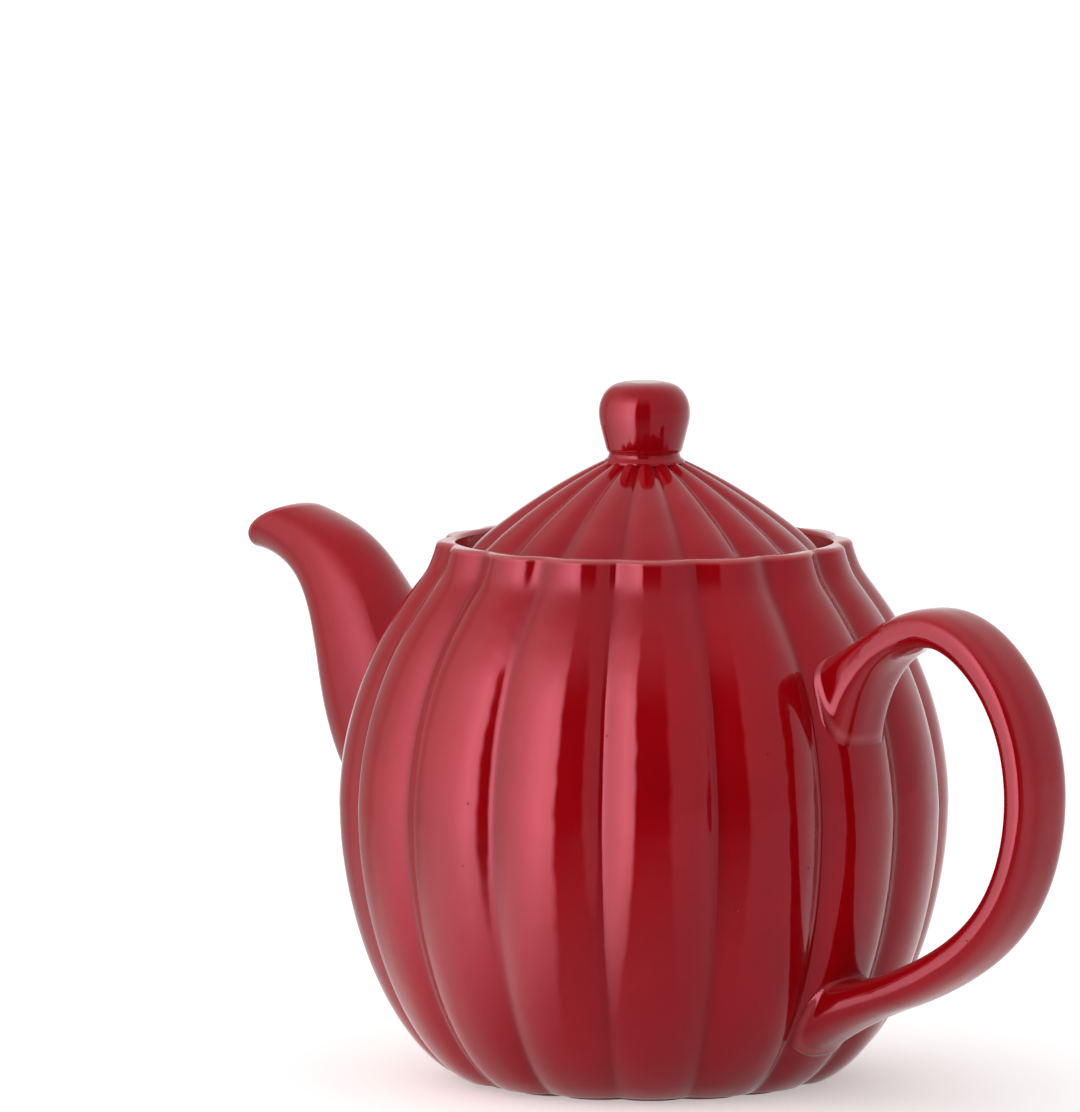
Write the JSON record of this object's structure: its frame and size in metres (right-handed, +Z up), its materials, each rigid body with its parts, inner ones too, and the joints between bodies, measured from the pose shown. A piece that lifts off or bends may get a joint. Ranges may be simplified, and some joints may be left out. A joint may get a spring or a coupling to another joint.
{
  "type": "teapot",
  "caption": "Lobed pumpkin-shaped glazed stoneware teapot with a conical lift-off lid, round knob, curved spout and C-shaped strap handle.",
  "frame": {"origin": "centre of the foot ring on the table, under the pot's axis", "axes": "+Z up along the pot's axis, +X towards the handle, -X towards the spout"},
  "size_m": [0.2443, 0.14, 0.1608],
  "materials": {
    "red_glaze": "glossy transparent red glaze over stoneware"
  },
  "bodies": {
    "pot": {"pot_body": "red_glaze", "spout": "red_glaze", "handle": "red_glaze"},
    "lid": {"lid": "red_glaze", "lid_knob": "red_glaze"}
  },
  "joints": [
    {"name": "lid_lift", "type": "slide", "parent": "pot", "child": "lid", "axis": [0, 0, 1], "range_m": [0, 0.06]}
  ]
}
